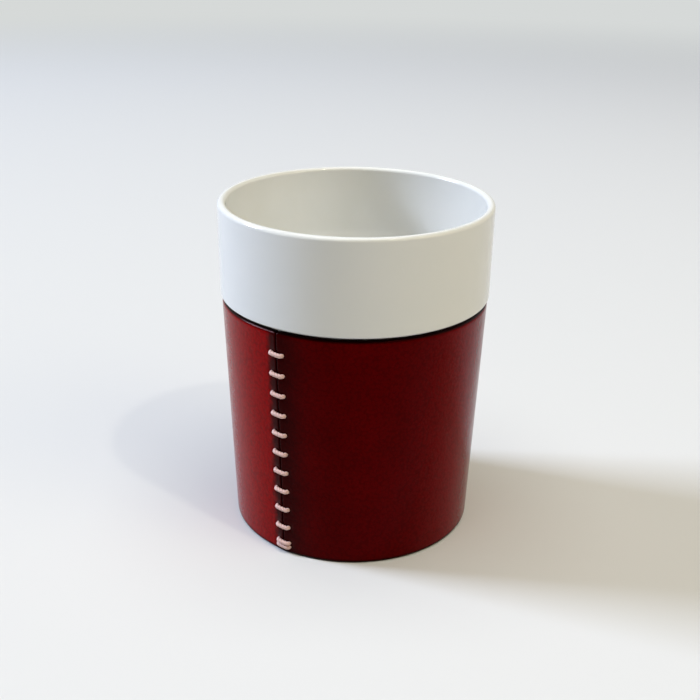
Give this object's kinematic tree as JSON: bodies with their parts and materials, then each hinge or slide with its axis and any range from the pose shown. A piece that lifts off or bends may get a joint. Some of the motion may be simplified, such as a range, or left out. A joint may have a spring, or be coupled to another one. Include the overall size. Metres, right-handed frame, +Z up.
{
  "type": "sleeved beaker",
  "caption": "Handleless tapered porcelain beaker with a wide white band, standing in a removable dark red leather sleeve closed by a hand-stitched butt seam.",
  "frame": {"origin": "on the table, under the middle of the foot ring", "axes": "+Z up along the beaker's axis, which is also the way it lifts out of the sleeve; the sleeve's seam is at -Y"},
  "size_m": [0.084, 0.0848, 0.1051],
  "materials": {
    "glazed_porcelain": "clear gloss glaze on white porcelain, bare ground foot ring",
    "red_leather": "glossy dyed cowhide, fine grain, dark burnished edges",
    "waxed_thread": "off-white waxed linen, twisted"
  },
  "bodies": {
    "sleeve": {"leather_sleeve": "red_leather", "seam_thread": "waxed_thread"},
    "beaker": {"porcelain_beaker": "glazed_porcelain"}
  },
  "joints": [
    {"name": "beaker_lift", "type": "slide", "parent": "sleeve", "child": "beaker", "axis": [0, 0, 1], "range_m": [0, 0.085]}
  ]
}
